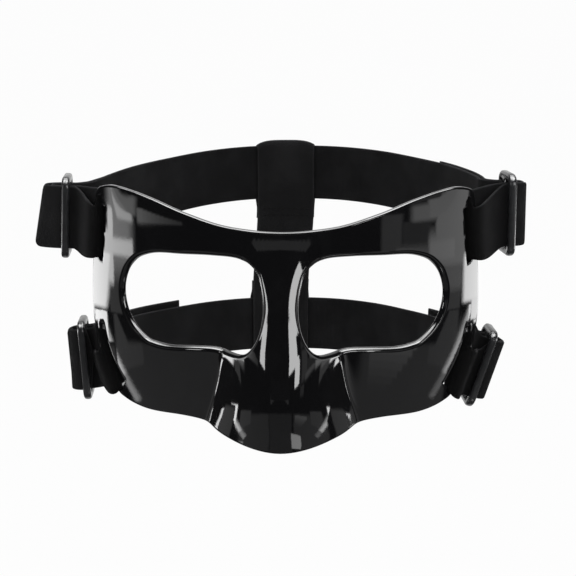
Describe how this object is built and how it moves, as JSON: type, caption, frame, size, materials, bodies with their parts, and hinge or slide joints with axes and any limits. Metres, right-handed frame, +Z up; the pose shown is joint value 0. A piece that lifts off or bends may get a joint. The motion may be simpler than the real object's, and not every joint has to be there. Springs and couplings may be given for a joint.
{
  "type": "nose guard face mask",
  "caption": "Moulded face shield that covers brow, nose and cheeks, with eye openings, foam pads and elastic head bands through strap sliders.",
  "frame": {"origin": "middle of the wearer's head opening, level with the four side loops of the bands", "axes": "+X to the right in the front view, -Y out of the shield's front, +Z up as worn"},
  "size_m": [0.2193, 0.213, 0.1165],
  "materials": {
    "shield": "glossy black moulded polycarbonate",
    "pad": "closed-cell foam with a fine knit face",
    "band": "matte woven elastic",
    "strap": "matte woven webbing",
    "slider": "semi-gloss moulded nylon"
  },
  "bodies": {
    "mask": {"shield": "shield", "brow_pad": "pad", "cheek_pad_left": "pad", "cheek_pad_right": "pad", "upper_band": "band", "lower_band": "band", "back_strap": "strap"},
    "upper_left_slider": {"slider_upper_left": "slider"},
    "upper_right_slider": {"slider_upper_right": "slider"},
    "lower_left_slider": {"slider_lower_left": "slider"},
    "lower_right_slider": {"slider_lower_right": "slider"}
  },
  "joints": [
    {"name": "upper_left_slide", "type": "slide", "parent": "mask", "child": "upper_left_slider", "axis": [-0.9956, -0.0872, 0.0348], "range_m": [-0.0015, 0.003]},
    {"name": "upper_right_slide", "type": "slide", "parent": "mask", "child": "upper_right_slider", "axis": [0.9877, 0.1564, 0], "range_m": [-0.0015, 0.003]},
    {"name": "lower_left_slide", "type": "slide", "parent": "mask", "child": "lower_left_slider", "axis": [-0.9951, -0.0698, -0.0696], "range_m": [-0.0015, 0.003]},
    {"name": "lower_right_slide", "type": "slide", "parent": "mask", "child": "lower_right_slider", "axis": [0.9458, 0.1045, -0.3073], "range_m": [-0.0015, 0.003]}
  ]
}
